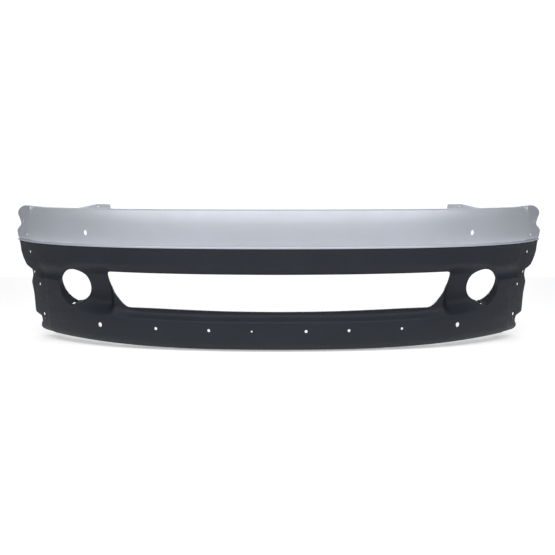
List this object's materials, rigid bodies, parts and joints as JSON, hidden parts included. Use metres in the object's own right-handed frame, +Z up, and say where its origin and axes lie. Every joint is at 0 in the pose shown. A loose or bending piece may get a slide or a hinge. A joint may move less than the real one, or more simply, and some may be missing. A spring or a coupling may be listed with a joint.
{
  "type": "car front bumper cover",
  "caption": "Two-tone front bumper cover for a car: painted upper skin, grained lower skin with a wide grille opening and round fog lamp apertures, fixings behind.",
  "frame": {"origin": "middle of the top flange's upper face, on the car's centre plane, where the cover is screwed to the front panel", "axes": "+X to the right of someone who stands in front, +Y back into the car, +Z up; the face looks along -Y"},
  "size_m": [1.836, 0.5264, 0.4446],
  "materials": {
    "silver_paint": "satin silver primer on moulded plastic, fine metallic flake",
    "grained_plastic": "dark slate moulded plastic with a fine grain",
    "black_nylon": "moulded black nylon",
    "zinc_steel": "bright zinc plate"
  },
  "bodies": {
    "root": {"upper_cover": "silver_paint", "lower_cover": "grained_plastic", "seam_rivet_body_01": "black_nylon", "seam_rivet_pin_01": "black_nylon", "seam_rivet_body_02": "black_nylon", "seam_rivet_pin_02": "black_nylon", "seam_rivet_body_03": "black_nylon", "seam_rivet_pin_03": "black_nylon", "seam_rivet_body_04": "black_nylon", "seam_rivet_pin_04": "black_nylon", "seam_rivet_body_05": "black_nylon", "seam_rivet_pin_05": "black_nylon", "seam_rivet_body_06": "black_nylon", "seam_rivet_pin_06": "black_nylon", "seam_rivet_body_07": "black_nylon", "seam_rivet_pin_07": "black_nylon", "seam_rivet_body_08": "black_nylon", "seam_rivet_pin_08": "black_nylon", "seam_rivet_body_09": "black_nylon", "seam_rivet_pin_09": "black_nylon", "fog_lamp_frame_left": "black_nylon", "side_guide_left": "black_nylon", "side_guide_screw_left_1": "zinc_steel", "side_guide_screw_left_2": "zinc_steel", "fog_frame_screw_left_1": "zinc_steel", "fog_frame_screw_left_2": "zinc_steel", "fog_frame_screw_left_3": "zinc_steel", "fog_lamp_frame_right": "black_nylon", "side_guide_right": "black_nylon", "side_guide_screw_right_1": "zinc_steel", "side_guide_screw_right_2": "zinc_steel", "fog_frame_screw_right_1": "zinc_steel", "fog_frame_screw_right_2": "zinc_steel", "fog_frame_screw_right_3": "zinc_steel", "undertray_clip_nut_1": "zinc_steel", "undertray_clip_nut_2": "zinc_steel", "undertray_clip_nut_3": "zinc_steel", "undertray_clip_nut_4": "zinc_steel", "undertray_clip_nut_5": "zinc_steel", "undertray_clip_nut_6": "zinc_steel"}
  },
  "joints": []
}
